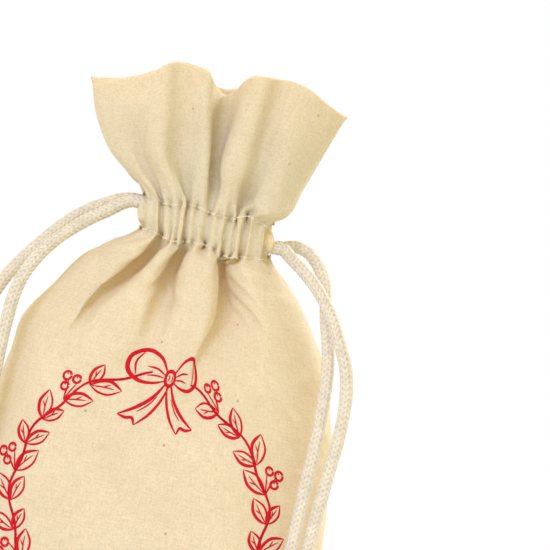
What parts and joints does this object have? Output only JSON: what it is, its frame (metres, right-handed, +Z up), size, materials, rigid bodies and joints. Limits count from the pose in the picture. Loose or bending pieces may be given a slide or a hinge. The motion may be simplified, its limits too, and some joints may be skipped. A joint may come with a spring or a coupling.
{
  "type": "drawstring gift pouch",
  "caption": "Filled calico drawstring pouch standing on its base, drawn closed by braided cords in a stitched casing, with a flared header and a line-art wreath on the front.",
  "frame": {"origin": "middle of the base, on the surface that the pouch stands on", "axes": "+Z up from base to header, +X to the right as seen from the front, -Y towards the printed front"},
  "size_m": [0.1359, 0.0655, 0.212],
  "materials": {
    "calico": "matte",
    "sewing_thread": "matte",
    "braided_cord": "matte",
    "red_ink": "matte"
  },
  "bodies": {
    "pouch": {"front_panel": "calico", "back_panel": "calico", "left_side_seam": "sewing_thread", "right_side_seam": "sewing_thread", "bottom_seam": "sewing_thread", "front_upper_stitching": "sewing_thread", "front_lower_stitching": "sewing_thread", "back_upper_stitching": "sewing_thread", "back_lower_stitching": "sewing_thread", "opening_bar_tacks": "sewing_thread", "wreath_print": "red_ink"},
    "left_cord": {"left_drawcord": "braided_cord"},
    "right_cord": {"right_drawcord": "braided_cord"},
    "left_tails": {"left_tail_front": "braided_cord", "left_tail_back": "braided_cord", "left_knot": "braided_cord", "left_cord_ends": "braided_cord"},
    "right_tails": {"right_tail_front": "braided_cord", "right_tail_back": "braided_cord", "right_knot": "braided_cord", "right_cord_ends": "braided_cord"}
  },
  "joints": [
    {"name": "left_cord_pull", "type": "slide", "parent": "pouch", "child": "left_cord", "axis": [-1, 0, 0], "range_m": [0, 0.004]},
    {"name": "right_cord_pull", "type": "slide", "parent": "pouch", "child": "right_cord", "axis": [1, 0, 0], "range_m": [0, 0.004]},
    {"name": "left_tails_swing", "type": "hinge", "parent": "left_cord", "child": "left_tails", "pos_m": [-0.0245, 0, 0.1605], "axis": [-1, 0, 0], "range_deg": [0, 90]},
    {"name": "right_tails_swing", "type": "hinge", "parent": "right_cord", "child": "right_tails", "pos_m": [0.0245, 0, 0.161], "axis": [-1, 0, 0], "range_deg": [0, 90]}
  ]
}
